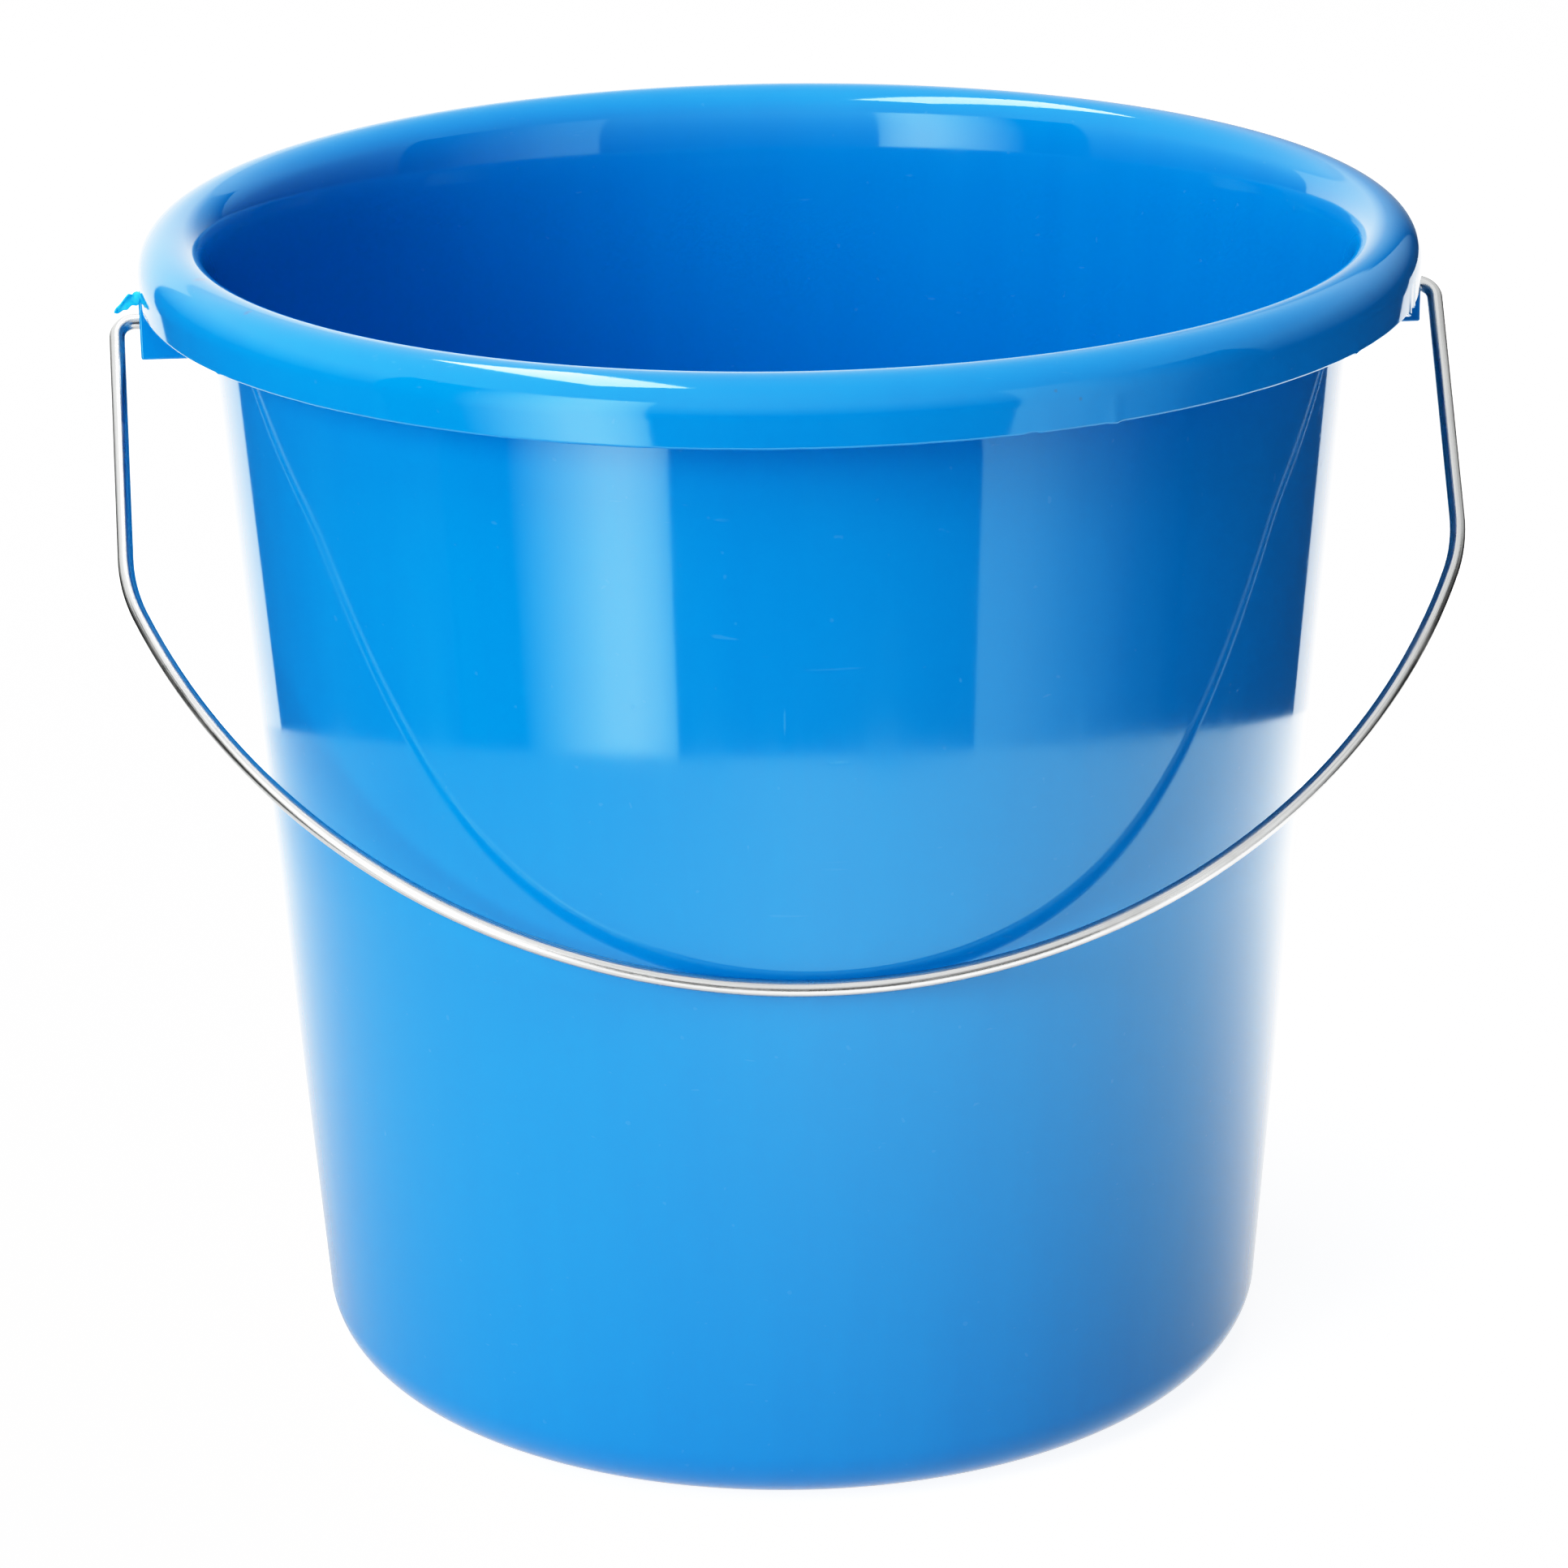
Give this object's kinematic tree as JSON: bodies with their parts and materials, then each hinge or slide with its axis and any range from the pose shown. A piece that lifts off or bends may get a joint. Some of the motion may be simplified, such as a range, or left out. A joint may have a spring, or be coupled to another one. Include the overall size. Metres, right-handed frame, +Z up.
{
  "type": "feed bucket",
  "caption": "Tapered plastic feed bucket with a rolled rim, moulded box ears and a swinging bare wire bail.",
  "frame": {"origin": "centre of the base, on the plane of the foot ring that the bucket stands on", "axes": "+Z up out of the mouth; X along the bail's hinge axis, through both ears; -Y is the front, where the resting bail lies against the wall"},
  "size_m": [0.2956, 0.282, 0.2643],
  "materials": {
    "bucket_plastic": "glossy injection-moulded blue polypropylene",
    "bail_wire": "bright drawn and galvanised steel wire"
  },
  "bodies": {
    "bucket": {"bucket": "bucket_plastic"},
    "bail": {"bail": "bail_wire"}
  },
  "joints": [
    {"name": "bail_swing", "type": "hinge", "parent": "bucket", "child": "bail", "pos_m": [0, 0, 0.244], "axis": [-1, 0, 0], "range_deg": [0, 268.6]}
  ]
}
